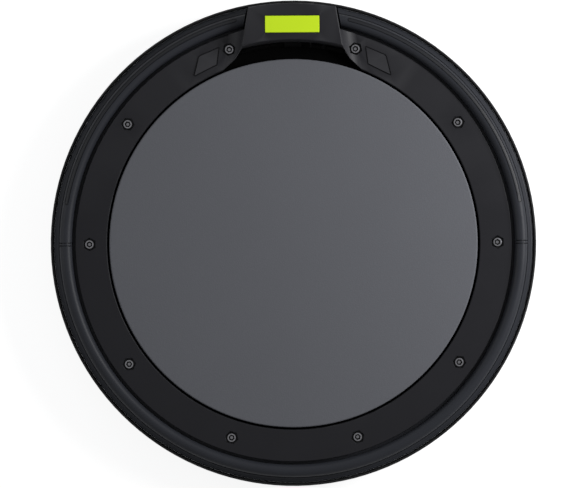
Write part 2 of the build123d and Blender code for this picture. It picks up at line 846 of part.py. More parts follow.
with BuildPart() as head_sensor_lead:
    with BuildLine() as head_lead_path:
        FilletPolyline(*head_lead_route, radius=corner_radii(head_lead_route))
    with BuildSketch(
        Plane(origin=head_lead_path.line @ 0, z_dir=head_lead_path.line % 0)
    ):
        Circle(lead_radius)
    sweep()

with BuildPart() as jack_lead:
    with BuildLine() as jack_lead_path:
        FilletPolyline(*jack_lead_route, radius=corner_radii(jack_lead_route))
    with BuildSketch(
        Plane(origin=jack_lead_path.line @ 0, z_dir=jack_lead_path.line % 0)
    ):
        Circle(jack_lead_radius)
    sweep()

print("head lead radii", [round(radius, 1) for radius in corner_radii(head_lead_route)])
print("jack lead radii", [round(radius, 1) for radius in corner_radii(jack_lead_route)])


pieces = {
    "base_shell": base_shell,
    "clamp_ring": clamp_ring,
    "badge_plate": badge_plate,
    "rubber_rim": rubber_rim,
    "rim_carrier": rim_carrier,
    "playing_surface": playing_surface,
    "damping_foam": damping_foam,
    "backing_plate": backing_plate,
    "plate_isolator": plate_isolator,
    "sensor_pad": sensor_pad,
    "piezo_disc": piezo_disc,
    "piezo_ceramic": piezo_ceramic,
    "ring_screws": ring_screws,
    "threaded_inserts": threaded_inserts,
    "stand_insert": stand_insert,
    "rubber_feet": rubber_feet,
    "jack_body": jack_body,
    "jack_washer": jack_washer,
    "jack_nut": jack_nut,
    "circuit_board": circuit_board,
    "board_screws": board_screws,
    "lead_connector": lead_connector,
    "head_sensor_lead": head_sensor_lead,
    "jack_lead": jack_lead,
}
for name, piece in pieces.items():
    piece.part.label = name
    export_step(piece.part, "parts/" + name + ".step")
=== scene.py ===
import logging
import math
from dataclasses import dataclass
from enum import Enum

import bmesh
import bpy
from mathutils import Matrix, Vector

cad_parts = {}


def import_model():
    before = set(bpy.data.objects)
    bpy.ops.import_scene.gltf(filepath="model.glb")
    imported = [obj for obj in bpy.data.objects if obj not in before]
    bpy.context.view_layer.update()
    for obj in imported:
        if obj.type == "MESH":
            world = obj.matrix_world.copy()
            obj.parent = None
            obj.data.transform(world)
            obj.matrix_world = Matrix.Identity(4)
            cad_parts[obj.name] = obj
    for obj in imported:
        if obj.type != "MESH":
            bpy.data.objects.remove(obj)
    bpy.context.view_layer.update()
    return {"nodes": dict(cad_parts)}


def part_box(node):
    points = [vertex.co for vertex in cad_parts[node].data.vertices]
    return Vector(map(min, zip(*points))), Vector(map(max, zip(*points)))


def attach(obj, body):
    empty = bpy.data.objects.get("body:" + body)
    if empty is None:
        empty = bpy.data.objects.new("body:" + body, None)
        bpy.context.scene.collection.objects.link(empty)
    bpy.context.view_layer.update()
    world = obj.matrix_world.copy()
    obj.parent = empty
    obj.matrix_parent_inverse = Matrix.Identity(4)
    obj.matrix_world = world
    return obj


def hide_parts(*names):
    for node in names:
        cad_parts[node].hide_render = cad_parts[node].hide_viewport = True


log = logging.getLogger("practice_pad")

BODY = "root"
MM = 0.001

MERGE_DISTANCE = 1e-7
SHARP_ANGLE = math.radians(40)
LAMP_AIM = Vector((0.0, 0.0, 0.03))

# How the finishes vary over a surface
ROUGHNESS_DRIFT = 0.05
RELIEF_SHARE = 0.4
BRUSH_STRETCH = (1.0, 0.06, 1.0)
# Edges lighten by pointiness: edge wear that also serves as a painted edge highlight
WEAR_LIT_START = 0.51
WEAR_LIT_FULL = 0.6
WORN_LIT_GAIN = 1.6
WORN_LIT_LIFT = 0.02


def linear(red: float, green: float, blue: float) -> tuple[float, float, float]:
    """Turn a display colour into the linear colour that shaders use.

    Args:
        red: Red from 0 to 255.
        green: Green from 0 to 255.
        blue: Blue from 0 to 255.

    Returns:
        The three linear parts, each from 0 to 1.
    """
    parts = []
    for part in (red / 255, green / 255, blue / 255):
        parts.append(part / 12.92 if part <= 0.04045 else ((part + 0.055) / 1.055) ** 2.4)
    return (parts[0], parts[1], parts[2])


class Grain(Enum):
    """Surface relief that a finish can have."""

    PEBBLE = "pebble"
    SPARK = "spark"
    CELLS = "cells"
    BRUSHED = "brushed"
    WEAVE = "weave"
    SATIN = "satin"


class Wiring:
    """Adds the nodes of one material and joins them."""

    def __init__(self, tree: bpy.types.NodeTree) -> None:
        """Keep the tree that the nodes go into."""
        self.tree = tree

    def add(self, kind: str, **inputs: float) -> bpy.types.Node:
        """Add a node and set its input sockets.

        Args:
            kind: The node's type name.
            inputs: Socket values, each named as the socket with underscores for spaces.

        Returns:
            The new node.
        """
        node = self.tree.nodes.new(kind)
        for name, value in inputs.items():
            node.inputs[name.replace("_", " ").title()].default_value = value
        return node

    def join(self, out: bpy.types.NodeSocket, into: bpy.types.NodeSocket) -> None:
        """Join an output socket to an input socket."""
        self.tree.links.new(out, into)

    def span(self, source: bpy.types.NodeSocket, low: float, high: float) -> bpy.types.NodeSocket:
        """Spread a texture's values, which lie from 0 to 1, over another range.

        Args:
            source: The texture's output.
            low: Result where the texture is 0.
            high: Result where the texture is 1.

        Returns:
            The socket with the spread values.
        """
        node = self.add("ShaderNodeMapRange", to_min=low, to_max=high)
        self.join(source, node.inputs["Value"])
        return node.outputs["Result"]

    def blend(
        self,
        factor: bpy.types.NodeSocket,
        first: tuple[float, float, float],
        second: tuple[float, float, float],
    ) -> bpy.types.Node:
        """Mix two colours.

        Args:
            factor: Socket that says how much of the second colour shows.
            first: Linear colour at factor 0.
            second: Linear colour at factor 1.

        Returns:
            The mix node.
        """
        node = self.tree.nodes.new("ShaderNodeMix")
        node.data_type = "RGBA"
        self.join(factor, node.inputs[0])
        node.inputs[6].default_value = (*first, 1.0)
        node.inputs[7].default_value = (*second, 1.0)
        return node


@dataclass(frozen=True)
class Finish:
    """One material of the pad: its colour, gloss, relief, drift in colour and edge wear, which
    also paints a highlight on convex edges.
    """

    name: str
    colour: tuple[float, float, float]
    roughness: float
    grain: Grain
    grain_size: float
    relief: float
    specular: float = 0.3
    metallic: float = 0.0
    mottle: float = 0.08
    drift_size: float = 0.025
    speckle: float = 0.05
    # Strength of the edge lightening: wear and a painted edge highlight
    wear_and_highlight: float = 0.0

    def relief_height(self, wiring: Wiring) -> bpy.types.NodeSocket:
        """Add the texture of the finish's grain.

        Args:
            wiring: The material's nodes.

        Returns:
            The socket with the grain's height, from 0 to 1.
        """
        coordinates = wiring.add("ShaderNodeTexCoord").outputs["Object"]
        scale = 1 / self.grain_size
        if self.grain in (Grain.PEBBLE, Grain.CELLS):
            cells = wiring.add("ShaderNodeTexVoronoi", scale=scale)
            cells.feature = "SMOOTH_F1" if self.grain is Grain.PEBBLE else "F1"
            wiring.join(coordinates, cells.inputs["Vector"])
            return cells.outputs["Distance"]
        if self.grain is Grain.WEAVE:
            heights = []
            for direction in ("X", "Y"):
                wave = wiring.add("ShaderNodeTexWave", scale=scale / 2)
                wave.bands_direction = direction
                wiring.join(coordinates, wave.inputs["Vector"])
                heights.append(wave.outputs["Fac"])
            crossing = wiring.add("ShaderNodeMath")
            crossing.operation = "MULTIPLY"
            wiring.join(heights[0], crossing.inputs[0])
            wiring.join(heights[1], crossing.inputs[1])
            return crossing.outputs[0]
        noise = wiring.add("ShaderNodeTexNoise", scale=scale, detail=4.0, roughness=0.6)
        if self.grain is Grain.BRUSHED:
            stretch = wiring.add("ShaderNodeMapping")
            stretch.inputs["Scale"].default_value = BRUSH_STRETCH
            wiring.join(coordinates, stretch.inputs["Vector"])
            wiring.join(stretch.outputs["Vector"], noise.inputs["Vector"])
        else:
            wiring.join(coordinates, noise.inputs["Vector"])
        return noise.outputs["Fac"]

    def build(self) -> bpy.types.Material:
        """Make the material.

        Returns:
            The new material.
        """
        material = bpy.data.materials.new(self.name)
        material.use_nodes = True
        wiring = Wiring(material.node_tree)
        shader = material.node_tree.nodes["Principled BSDF"]
        shader.inputs["Metallic"].default_value = self.metallic
        shader.inputs["Specular IOR Level"].default_value = self.specular

        height = self.relief_height(wiring)
        drift = wiring.add("ShaderNodeTexNoise", scale=1 / self.drift_size, detail=3.0)
        coordinates = wiring.add("ShaderNodeTexCoord")
        wiring.join(coordinates.outputs["Object"], drift.inputs["Vector"])
        darker = tuple(part * (1 - self.mottle) for part in self.colour)
        lighter = tuple(min(part * (1 + self.mottle), 1.0) for part in self.colour)
        tint = wiring.blend(drift.outputs["Fac"], darker, lighter).outputs[2]

        speckled = wiring.add("ShaderNodeHueSaturation")
        brightness = wiring.span(height, 1 - self.speckle, 1 + self.speckle)
        wiring.join(brightness, speckled.inputs["Value"])
        wiring.join(tint, speckled.inputs["Color"])
        tint = speckled.outputs["Color"]

        # Convex edges are lightened: partly edge wear, partly a painted edge highlight
        if self.wear_and_highlight > 0:
            geometry = wiring.add("ShaderNodeNewGeometry")
            edges = wiring.add(
                "ShaderNodeMapRange", from_min=WEAR_LIT_START, from_max=WEAR_LIT_FULL, to_max=self.wear_and_highlight
            )
            wiring.join(geometry.outputs["Pointiness"], edges.inputs["Value"])
            bare_and_lit = tuple(min(part * WORN_LIT_GAIN + WORN_LIT_LIFT, 1.0) for part in self.colour)
            worn_and_lit = wiring.blend(edges.outputs["Result"], self.colour, bare_and_lit)
            wiring.join(tint, worn_and_lit.inputs[6])
            tint = worn_and_lit.outputs[2]
        wiring.join(tint, shader.inputs["Base Color"])

        smoothest = self.roughness - ROUGHNESS_DRIFT
        roughest = self.roughness + ROUGHNESS_DRIFT
        gloss = wiring.span(drift.outputs["Fac"], smoothest, roughest)
        wiring.join(gloss, shader.inputs["Roughness"])
        bump = wiring.add(
            "ShaderNodeBump", strength=self.relief, distance=self.grain_size * RELIEF_SHARE
        )
        wiring.join(height, bump.inputs["Height"])
        wiring.join(bump.outputs["Normal"], shader.inputs["Normal"])
        return material


SHELL_BLACK = Finish(
    "shell_black", linear(19, 19, 20), 0.48, Grain.SPARK, 0.0006, 0.14, specular=0.12, wear_and_highlight=0.3
)
# Its edge lightening is edge wear and a painted highlight along the ring's edges
RING_BLACK = Finish(
    "ring_black", linear(24, 24, 27), 0.47, Grain.SPARK, 0.0005, 0.16, specular=0.11, wear_and_highlight=0.6
)
BADGE_LIME = Finish(
    "badge_lime", linear(177, 206, 18), 0.45, Grain.SATIN, 0.0006, 0.05, specular=0.3,
    mottle=0.02, speckle=0.01, wear_and_highlight=0.1,
)
RIM_RUBBER = Finish(
    "rim_rubber", linear(34, 35.5, 40), 0.45, Grain.SATIN, 0.0009, 0.10, specular=0.115,
    mottle=0.10, wear_and_highlight=0.2,
)
STRIP_RUBBER = Finish(
    "strip_rubber", linear(26, 27, 30), 0.44, Grain.SATIN, 0.0007, 0.06, specular=0.13
)
SURFACE_RUBBER = Finish(
    "surface_rubber", linear(83, 84, 88.5), 0.62, Grain.PEBBLE, 0.0008, 0.16, specular=0.16,
    mottle=0.035, drift_size=0.05, speckle=0.05,
)
# Black foam, made darker still and without gloss as painted shade in the recess round the pad
FOAM_BLACK_AND_SHADE = Finish(
    "foam_black", linear(6, 6, 6), 0.9, Grain.CELLS, 0.0007, 0.6, specular=0.0, speckle=0.3
)
PLATE_STEEL = Finish(
    "plate_steel", linear(150, 152, 155), 0.42, Grain.BRUSHED, 0.0006, 0.1, metallic=1.0,
    specular=0.5,
)
SCREW_STEEL = Finish(
    "screw_steel", linear(96, 96, 99), 0.32, Grain.SATIN, 0.0005, 0.05, metallic=1.0,
    specular=0.5, wear_and_highlight=0.3,
)
# Blackened steel; on the screws' socket walls it is painted shade
SCREW_OXIDE_AND_SHADE = Finish(
    "screw_oxide_and_shade", linear(12, 12, 13), 0.5, Grain.SPARK, 0.0004, 0.1, specular=0.06, wear_and_highlight=0.2
)
BRASS = Finish(
    "insert_brass", linear(190, 160, 92), 0.34, Grain.SATIN, 0.0006, 0.08, metallic=1.0,
    specular=0.5, wear_and_highlight=0.3,
)
CERAMIC = Finish("sensor_ceramic", linear(214, 210, 196), 0.5, Grain.SPARK, 0.0008, 0.08)
FILM = Finish("sensor_film", linear(170, 170, 168), 0.3, Grain.SATIN, 0.001, 0.04)
# Black plastic, darkened further as painted shade in the recess
JACK_BLACK_AND_SHADE = Finish(
    "jack_black_and_shade", linear(13, 13, 14), 0.5, Grain.SPARK, 0.0006, 0.1, specular=0.05
)
JACK_NICKEL = Finish(
    "jack_nickel", linear(168, 168, 166), 0.28, Grain.BRUSHED, 0.0006, 0.06, metallic=1.0,
    specular=0.5, wear_and_highlight=0.2,
)
BOARD_GREEN = Finish("board_green", linear(22, 74, 44), 0.4, Grain.WEAVE, 0.0012, 0.15)
NYLON = Finish("connector_nylon", linear(226, 222, 208), 0.45, Grain.SATIN, 0.001, 0.06)
SHEATH = Finish("lead_sheath", linear(30, 30, 31), 0.5, Grain.SATIN, 0.0008, 0.08, specular=0.2)
FEET_RUBBER = Finish(
    "feet_rubber", linear(34, 34, 35), 0.72, Grain.PEBBLE, 0.0007, 0.3, specular=0.16, wear_and_highlight=0.3
)


class Paint:
    """Keeps one material per finish, so that pieces of the same finish share it."""

    def __init__(self) -> None:
        """Start with no material made."""
        self.made: dict[str, bpy.types.Material] = {}

    def of(self, finish: Finish) -> bpy.types.Material:
        """Give the material of a finish, made on first use.

        Args:
            finish: The finish wanted.

        Returns:
            Its material.
        """
        if finish.name not in self.made:
            self.made[finish.name] = finish.build()
        return self.made[finish.name]

    def dress(self, node: bpy.types.Object, finish: Finish) -> None:
        """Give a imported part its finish.

        Args:
            node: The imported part.
            finish: The finish that it gets.
        """
        material = self.of(finish)
        if node.material_slots:
            for place in node.material_slots:
                place.material = material
        else:
            node.data.materials.append(material)
        log.info("dressed %s in %s", node.name, finish.name)


Profile = list[tuple[float, float]]


def turned(
    name: str, outline: Profile, segments: int, start: float = 0.0, sweep: float = math.tau
) -> bpy.types.Object:
    """Turn an outline about the upright axis into a mesh.

    Args:
        name: Name of the new piece.
        outline: Radius and height of each point of the closed outline, in metres.
        segments: Steps in the sweep.
        start: Angle at which the sweep starts, in radians.
        sweep: Angle that it covers, in radians.

    Returns:
        The new object, linked to the scene.
    """
    full = math.isclose(sweep, math.tau)
    mesh = bpy.data.meshes.new(name)
    build = bmesh.new()
    rows = []
    for step in range(segments if full else segments + 1):
        angle = start + sweep * step / segments
        across, along = math.cos(angle), math.sin(angle)
        rows.append([build.verts.new((r * across, r * along, z)) for r, z in outline])
    count = len(outline)
    for step in range(segments):
        here, beyond = rows[step], rows[(step + 1) % len(rows)]
        for point in range(count):
            other = (point + 1) % count
            build.faces.new((here[point], beyond[point], beyond[other], here[other]))
    if not full:
        build.faces.new(rows[0])
        build.faces.new(rows[-1][::-1])
    bmesh.ops.remove_doubles(build, verts=build.verts, dist=MERGE_DISTANCE)
    bmesh.ops.recalc_face_normals(build, faces=build.faces)
    build.to_mesh(mesh)
    build.free()
    return smoothed(name, mesh)


def smoothed(name: str, mesh: bpy.types.Mesh) -> bpy.types.Object:
    """Shade a mesh smooth between its sharp edges and link it as an object.

    Args:
        name: Name of the new piece.
        mesh: Its mesh.

    Returns:
        The new object.
    """
    for face in mesh.polygons:
        face.use_smooth = True
    mesh.set_sharp_from_angle(angle=SHARP_ANGLE)
    piece = bpy.data.objects.new(name, mesh)
    bpy.context.collection.objects.link(piece)
    return piece


def arc_points(
    centre: tuple[float, float], radius: float, first: float, last: float, steps: int
) -> Profile:
    """Points of an arc in an outline.

    Args:
        centre: Radius and height of the arc's centre.
        radius: The arc's own radius.
        first: Angle of the first point in degrees, 0 pointing outwards and 90 up.
        last: Angle of the last point in degrees.
        steps: Number of pieces that the arc is divided into.

    Returns:
        The points from first to last.
    """
    points = []
    for step in range(steps + 1):
        angle = math.radians(first + (last - first) * step / steps)
        points.append((centre[0] + radius * math.cos(angle), centre[1] + radius * math.sin(angle)))
    return points


@dataclass
class PadAssembly:
    """Playing surface, the foam under it, its plate and the foam ring that carries the plate."""

    paint: Paint
    edge_round: float = 1.0 * MM
    under_round: float = 0.4 * MM
    dish: float = 0.12 * MM
    top_shares: tuple[float, ...] = (0.985, 0.965, 0.93, 0.85, 0.7, 0.5, 0.25)
    foam_bulge: float = 0.35 * MM
    bulge_shoulder: float = 0.1 * MM
    bulge_half_height: float = 1.0 * MM
    isolator_bow: float = 0.15 * MM
    sensor_bow: float = 0.2 * MM
    segments: int = 384
    slot_x: float = 14.5 * MM
    slot_half: float = 2.6 * MM

    def build(self, nodes: dict[str, bpy.types.Object]) -> None:
        """Make the soft pieces and dress the stiff ones.

        Args:
            nodes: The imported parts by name.
        """
        self.playing_surface()
        self.damping_foam()
        self.plate_isolator()
        self.sensor_pad()
        self.paint.dress(nodes["backing_plate"], PLATE_STEEL)
        self.paint.dress(nodes["piezo_disc"], BRASS)
        self.paint.dress(nodes["piezo_ceramic"], CERAMIC)

    def soft(
        self, piece: bpy.types.Object, node: str, finish: Finish
    ) -> None:
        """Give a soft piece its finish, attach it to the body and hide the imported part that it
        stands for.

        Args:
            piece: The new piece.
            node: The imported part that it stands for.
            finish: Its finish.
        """
        piece.data.materials.append(self.paint.of(finish))
        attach(piece, BODY)
        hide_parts(node)
        log.info("made %s for %s", piece.name, node)

    def playing_surface(self) -> None:
        """Make the playing surface: a disc with a rolled edge and a slightly dished top."""
        low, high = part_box("playing_surface")
        radius, top, under = high.x, high.z, low.z
        outline = [(0.0, under), (radius / 2, under), (radius - self.edge_round, under)]
        lower = (radius - self.under_round, under + self.under_round)
        outline += arc_points(lower, self.under_round, -90, 0, 4)
        upper = (radius - self.edge_round, top - self.edge_round)
        outline += arc_points(upper, self.edge_round, 0, 90, 8)
        for share in self.top_shares:
            outline.append((radius * share, top - self.dish * (1 - share**4)))
        outline.append((0.0, top - self.dish))
        piece = turned("pad_playing_surface", outline, self.segments)
        self.soft(piece, "playing_surface", SURFACE_RUBBER)

    def damping_foam(self) -> None:
        """Make the foam slab, whose edge swells where the clamp ring leaves it free."""
        low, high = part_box("damping_foam")
        middle = (low.z + high.z) / 2
        held, free = high.x - self.foam_bulge, high.x
        shoulder = free - self.bulge_shoulder
        outline = [(0.0, low.z), (held, low.z)]
        outline += [(shoulder, middle - self.bulge_half_height), (free, middle)]
        outline += [(shoulder, middle + self.bulge_half_height)]
        outline += [(held, high.z), (0.0, high.z)]
        piece = turned("pad_damping_foam", outline, self.segments // 2)
        self.soft(piece, "damping_foam", FOAM_BLACK_AND_SHADE)

    def plate_isolator(self) -> None:
        """Make the foam ring under the plate, open where the sensor's lead passes."""
        low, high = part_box("plate_isolator")
        inner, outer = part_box("playing_surface")[1].x, high.x
        middle = math.acos(self.slot_x / inner)
        half = self.slot_half / inner
        bow = self.isolator_bow
        level = (low.z + high.z) / 2
        outline = [(inner + bow, low.z), (outer - bow, low.z), (outer, level)]
        outline += [(outer - bow, high.z), (inner + bow, high.z), (inner, level)]
        piece = turned(
            "plate_isolator_ring", outline, self.segments // 2, middle + half, math.tau - 2 * half
        )
        self.soft(piece, "plate_isolator", FOAM_BLACK_AND_SHADE)

    def sensor_pad(self) -> None:
        """Make the foam disc between the plate and the head sensor."""
        low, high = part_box("sensor_pad")
        middle = (low.z + high.z) / 2
        bow = self.sensor_bow
        outline = [(0.0, low.z), (high.x - bow, low.z), (high.x, middle)]
        outline += [(high.x - bow, high.z), (0.0, high.z)]
        piece = turned("head_sensor_pad", outline, self.segments // 4)
        self.soft(piece, "sensor_pad", FOAM_BLACK_AND_SHADE)


@dataclass
class RimAssembly:
    """Rubber striking rim, its inlaid strips, film sensors and carrier."""

    paint: Paint

    def build(self, nodes: dict[str, bpy.types.Object]) -> None:
        """Dress the rim's parts.

        Args:
            nodes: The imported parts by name.
        """
        self.paint.dress(nodes["rubber_rim"], RIM_RUBBER)
        self.paint.dress(nodes["rim_carrier"], PLATE_STEEL)
        for side in ("right", "left"):
            self.paint.dress(nodes["rim_strip_" + side], STRIP_RUBBER)
            self.paint.dress(nodes["rim_film_sensor_" + side], FILM)


@dataclass
class ClampAssembly:
    """Clamp ring with its housing, badge plate, screws and inserts."""

    paint: Paint
    screw_count: int = 10
    steps: int = 48
    head_radius: float = 3.8 * MM
    head_height: float = 2.2 * MM
    shaft_radius: float = 2.0 * MM
    # Inset and drop of each point of the head's rounded edge, in millimetres
    head_edge: tuple[tuple[float, float], ...] = ((0.0, 0.85), (0.12, 0.42), (0.36, 0.12))
    flat_inset: float = 0.60 * MM
    shaft_chamfer: float = 0.2 * MM
    shaft_chamfer_height: float = 0.3 * MM
    socket_width: float = 3.8 * MM
    socket_depth: float = 1.6 * MM
    socket_flare: float = 0.5 * MM
    socket_flare_depth: float = 0.25 * MM
    socket_draft: float = 0.1 * MM
    drill_radius: float = 1.15 * MM
    drill_depth: float = 0.2 * MM

    def build(self, nodes: dict[str, bpy.types.Object]) -> None:
        """Dress the clamp ring and what sits in it.

        Args:
            nodes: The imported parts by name.
        """
        self.paint.dress(nodes["clamp_ring"], RING_BLACK)
        self.paint.dress(nodes["badge_plate"], BADGE_LIME)
        self.paint.dress(nodes["threaded_inserts"], BRASS)
        self.screws()

    def hexagon(self, width: float, angle: float) -> float:
        """Distance from a hexagon's middle to its side.

        Args:
            width: Width across the flats.
            angle: Direction of the point on the side, in radians.

        Returns:
            The distance in that direction.
        """
        sixth = math.pi / 3
        return width / 2 / math.cos((angle + sixth / 2) % sixth - sixth / 2)

    def screws(self) -> None:
        """Make the ten round-head screws: blackened, with bare steel on the flat top and the
        socket floor standing in for their highlight, and oxide on the socket walls as painted
        shade.
        """
        low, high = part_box("ring_screws")
        circle = high.x - self.head_radius
        top = high.z
        under = top - self.head_height
        floor = top - self.socket_depth
        # Bare steel on the flat top and socket floor stands in for the lit parts; oxide on the
        # socket walls is painted shade
        bare_and_lit, oxide_and_shade = 0, 1
        rows = (
            (0.0, 0.0, low.z, oxide_and_shade),
            (self.shaft_radius - self.shaft_chamfer, 0.0, low.z, oxide_and_shade),
            (self.shaft_radius, 0.0, low.z + self.shaft_chamfer_height, oxide_and_shade),
            (self.shaft_radius, 0.0, under, oxide_and_shade),
            (self.head_radius, 0.0, under, oxide_and_shade),
            *(
                (self.head_radius - inset * MM, 0.0, top - drop * MM, oxide_and_shade)
                for inset, drop in self.head_edge
            ),
            (self.head_radius - self.flat_inset, 0.0, top, bare_and_lit),
            (0.0, self.socket_width + self.socket_flare, top, oxide_and_shade),
            (0.0, self.socket_width, top - self.socket_flare_depth, oxide_and_shade),
            (0.0, self.socket_width - self.socket_draft, floor, oxide_and_shade),
            (self.drill_radius, 0.0, floor, bare_and_lit),
            (0.0, 0.0, floor - self.drill_depth, bare_and_lit),
        )
        build = bmesh.new()
        for number in range(self.screw_count):
            turn = math.tau * number / self.screw_count
            middle = (circle * math.cos(turn), circle * math.sin(turn))
            loops = []
            for radius, width, level, _ in rows:
                loop = []
                for step in range(self.steps):
                    angle = math.tau * step / self.steps
                    reach = self.hexagon(width, angle) if width else radius
                    x = middle[0] + reach * math.cos(angle + turn)
                    y = middle[1] + reach * math.sin(angle + turn)
                    loop.append(build.verts.new((x, y, level)))
                loops.append(loop)
            for here, beyond, row in zip(loops, loops[1:], rows):
                for step in range(self.steps):
                    other = (step + 1) % self.steps
                    corners = (here[step], here[other], beyond[other], beyond[step])
                    build.faces.new(corners).material_index = row[3]
        bmesh.ops.remove_doubles(build, verts=build.verts, dist=MERGE_DISTANCE)
        bmesh.ops.recalc_face_normals(build, faces=build.faces)
        mesh = bpy.data.meshes.new("clamp_screws")
        build.to_mesh(mesh)
        build.free()
        piece = smoothed("clamp_screws", mesh)
        piece.data.materials.append(self.paint.of(SCREW_STEEL))
        piece.data.materials.append(self.paint.of(SCREW_OXIDE_AND_SHADE))
        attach(piece, BODY)
        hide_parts("ring_screws")
        log.info("made %s for ring_screws", piece.name)


@dataclass
class BaseAssembly:
    """Base shell, feet and the stand insert with its thread."""

    paint: Paint
    thread_pitch: float = 1.25 * MM
    thread_height: float = 0.4 * MM
    thread_radius: float = 3.98 * MM
    thread_half_share: float = 0.42
    thread_start: float = 0.6 * MM
    thread_stop: float = 2.0 * MM
    steps_per_turn: int = 40
    ease_steps: int = 10

    def build(self, nodes: dict[str, bpy.types.Object]) -> None:
        """Dress the base and add the insert's thread.

        Args:
            nodes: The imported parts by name.
        """
        self.paint.dress(nodes["base_shell"], SHELL_BLACK)
        self.paint.dress(nodes["rubber_feet"], FEET_RUBBER)
        self.paint.dress(nodes["stand_insert"], BRASS)
        self.stand_thread()

    def stand_thread(self) -> None:
        """Make the ridge of the insert's inner thread as one winding strip."""
        low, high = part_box("stand_insert")
        start, end = low.z + self.thread_start, high.z - self.thread_stop
        turns = (end - start) / self.thread_pitch
        steps = round(turns * self.steps_per_turn)
        build = bmesh.new()
        rows = []
        half = self.thread_pitch * self.thread_half_share
        for step in range(steps + 1):
            angle = math.tau * turns * step / steps
            level = start + (end - start) * step / steps
            ease = min(1.0, step / self.ease_steps, (steps - step) / self.ease_steps)
            crest = self.thread_radius - self.thread_height * ease
            root = self.thread_radius
            row = []
            for radius, rise in ((root, -half), (crest, 0.0), (root, half)):
                place = (radius * math.cos(angle), radius * math.sin(angle), level + rise)
                row.append(build.verts.new(place))
            rows.append(row)
        for here, beyond in zip(rows, rows[1:]):
            for point in range(2):
                build.faces.new((here[point], here[point + 1], beyond[point + 1], beyond[point]))
        bmesh.ops.recalc_face_normals(build, faces=build.faces)
        mesh = bpy.data.meshes.new("stand_insert_thread")
        build.to_mesh(mesh)
        build.free()
        piece = smoothed("stand_insert_thread", mesh)
        piece.data.materials.append(self.paint.of(BRASS))
        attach(piece, BODY)
        log.info("made %s", piece.name)


@dataclass
class SignalAssembly:
    """Output jack with its contact spring, circuit board, connector and leads."""

    paint: Paint
    spring_width: float = 1.6 * MM
    spring_thickness: float = 0.25 * MM
    spring_above_axis: float = 3.1 * MM
    spring_inset: float = 9.0 * MM
    # Place of each bend along the jack and its height from the wall, in millimetres
    spring_bends: tuple[tuple[float, float], ...] = (
        (0.0, 0.0), (-2.0, 0.0), (-4.5, -1.0), (-6.0, -1.3), (-7.5, -0.9), (-11.0, 0.0),
        (-14.0, 0.0),
    )

    def build(self, nodes: dict[str, bpy.types.Object]) -> None:
        """Dress the electrical parts and add the jack's contact spring.

        Args:
            nodes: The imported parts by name.
        """
        wanted = {
            "jack_body": JACK_BLACK_AND_SHADE,
            "jack_washer": JACK_NICKEL,
            "jack_nut": JACK_NICKEL,
            "circuit_board": BOARD_GREEN,
            "board_screws": SCREW_STEEL,
            "lead_connector": NYLON,
            "head_sensor_lead": SHEATH,
            "jack_lead": SHEATH,
        }
        for name, finish in wanted.items():
            self.paint.dress(nodes[name], finish)
        self.contact_spring()

    def contact_spring(self) -> None:
        """Make the bent leaf inside the jack's bore that touches the plug."""
        nut_low, nut_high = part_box("jack_nut")
        axis_level = (nut_low.z + nut_high.z) / 2
        wall = axis_level + self.spring_above_axis
        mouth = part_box("jack_body")[1].y - self.spring_inset
        build = bmesh.new()
        rows = []
        for along, drop in self.spring_bends:
            y, z = mouth + along * MM, wall + drop * MM
            half = self.spring_width / 2
            thick = self.spring_thickness
            corners = ((-half, z), (half, z), (half, z - thick), (-half, z - thick))
            rows.append([build.verts.new((x, y, level)) for x, level in corners])
        for here, beyond in zip(rows, rows[1:]):
            for point in range(4):
                other = (point + 1) % 4
                build.faces.new((here[point], here[other], beyond[other], beyond[point]))
        build.faces.new(rows[0])
        build.faces.new(rows[-1][::-1])
        bmesh.ops.recalc_face_normals(build, faces=build.faces)
        mesh = bpy.data.meshes.new("jack_contact_spring")
        build.to_mesh(mesh)
        build.free()
        piece = smoothed("jack_contact_spring", mesh)
        piece.data.materials.append(self.paint.of(JACK_NICKEL))
        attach(piece, BODY)
        log.info("made %s", piece.name)


@dataclass(frozen=True)
class Lamp:
    """One soft lamp: where it stands, its size and its power in watts."""

    name: str
    place: tuple[float, float, float]
    width: float
    height: float
    power: float
    colour: tuple[float, float, float]

    def build(self) -> None:
        """Make the lamp and point it at the pad."""
        data = bpy.data.lights.new(self.name, "AREA")
        data.shape = "RECTANGLE"
        data.size = self.width
        data.size_y = self.height
        data.energy = self.power
        data.color = self.colour
        lamp = bpy.data.objects.new(self.name, data)
        lamp.location = self.place
        aim = LAMP_AIM - Vector(self.place)
        lamp.rotation_mode = "QUATERNION"
        lamp.rotation_quaternion = aim.to_track_quat("-Z", "Y")
        bpy.context.collection.objects.link(lamp)


